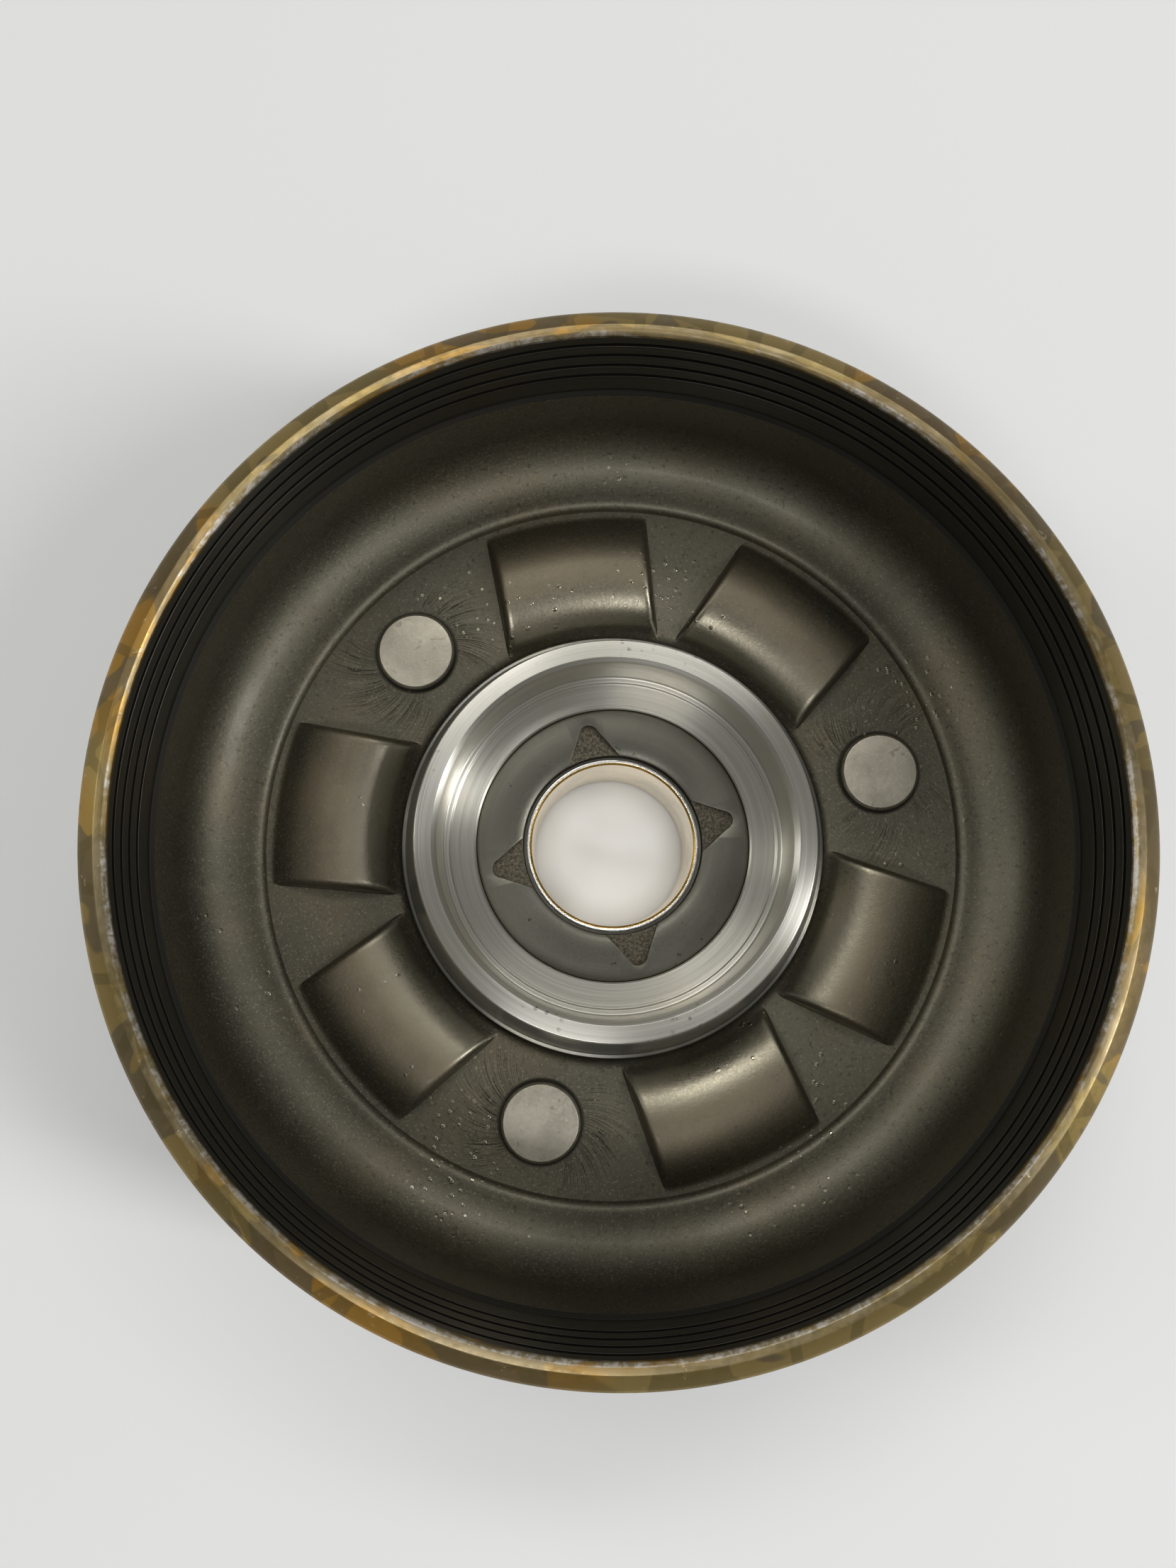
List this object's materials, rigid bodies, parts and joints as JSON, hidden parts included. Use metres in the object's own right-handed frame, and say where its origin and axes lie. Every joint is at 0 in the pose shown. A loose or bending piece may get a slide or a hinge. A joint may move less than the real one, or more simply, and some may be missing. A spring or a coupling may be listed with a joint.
{
  "type": "wet clutch drum",
  "caption": "Wet clutch drum with a sprung gear hub, a one-way clutch race, a bushed bore and a grooved shoe track.",
  "frame": {"origin": "on the bore axis, in the plane of the drive gear's rear face", "axes": "+Z along the bore axis, out of the drum's open side; +X through the middle of the first rivet"},
  "size_m": [0.149, 0.149, 0.063],
  "materials": {
    "drum_steel": "oiled pressed steel, satin, with heat-tinted rim",
    "turned_steel": "fine turned, bright",
    "dark_steel": "oiled forged and ground steel",
    "plate_steel": "oiled pressed steel",
    "collar_steel": "turned",
    "rivet_steel": "pressed, satin",
    "spring_steel": "oiled spring steel",
    "bush_steel": "smooth",
    "bronze": "bored bearing bronze"
  },
  "bodies": {
    "drum": {"drum_shell": "drum_steel", "back_plate": "plate_steel", "cone_washer": "spring_steel", "rivet_1": "rivet_steel", "rivet_2": "rivet_steel", "rivet_3": "rivet_steel", "rivet_collar_1": "collar_steel", "rivet_collar_2": "collar_steel", "rivet_collar_3": "collar_steel"},
    "gear_hub": {"drive_gear": "dark_steel", "damper_plate": "plate_steel", "race_ring": "turned_steel", "bush_shell": "bush_steel", "bush_lining": "bronze"},
    "damper_springs": {"damper_spring_1": "spring_steel", "damper_spring_2": "spring_steel", "damper_spring_3": "spring_steel", "damper_spring_4": "spring_steel", "damper_spring_5": "spring_steel", "damper_spring_6": "spring_steel"}
  },
  "joints": [
    {"name": "hub_turn", "type": "hinge", "parent": "drum", "child": "gear_hub", "pos_m": [0, 0, 0.015], "axis": [0, 0, 1], "range_deg": [-5, 5], "stiffness_Nm_per_rad": 100},
    {"name": "spring_turn", "type": "hinge", "parent": "drum", "child": "damper_springs", "pos_m": [0, 0, 0.015], "axis": [0, 0, 1], "range_deg": [-2.5, 2.5], "deforming": ["damper_spring_1", "damper_spring_2", "damper_spring_3", "damper_spring_4", "damper_spring_5", "damper_spring_6"]}
  ],
  "couplings": [
    {"joint": "spring_turn", "follows": "hub_turn", "ratio": 0.5}
  ]
}
